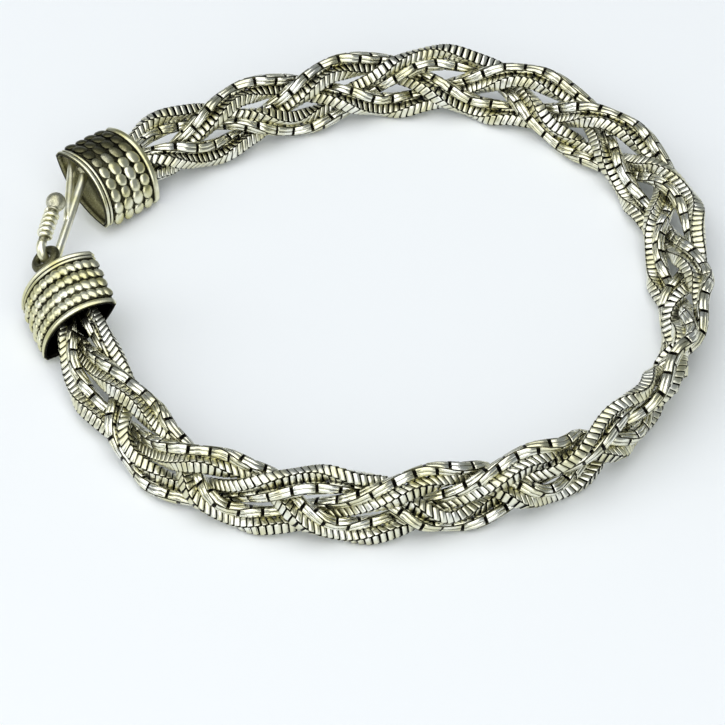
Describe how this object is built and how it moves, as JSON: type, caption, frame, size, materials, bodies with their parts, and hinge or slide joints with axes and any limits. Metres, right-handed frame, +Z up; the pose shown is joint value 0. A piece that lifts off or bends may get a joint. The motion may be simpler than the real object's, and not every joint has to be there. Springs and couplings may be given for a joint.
{
  "type": "braided bracelet",
  "caption": "Closed bracelet of oxidised silver: a flat plait of fine snake and brick chains between two domed, ribbed end caps that a hook and an eye join.",
  "frame": {"origin": "on the surface that the bracelet lies on, under the middle of the loop's box", "axes": "+Z up off the surface, -X towards the clasp, -Y towards the viewer of the picture, +Y to the far side of the loop"},
  "size_m": [0.0665, 0.0655, 0.0072],
  "materials": {
    "snake_chain": "worn silver, dark oxide between the plates",
    "brick_chain": "bright silver bricks with near black joints",
    "end_cap": "satin cast silver, dark in the grooves"
  },
  "bodies": {
    "root": {"snake_chain_1": "snake_chain", "snake_chain_2": "snake_chain", "snake_chain_3": "snake_chain", "brick_chain_1": "brick_chain", "brick_chain_2": "brick_chain", "brick_chain_3": "brick_chain", "eye_end_cap": "end_cap", "hook_end_cap": "end_cap"}
  },
  "joints": []
}
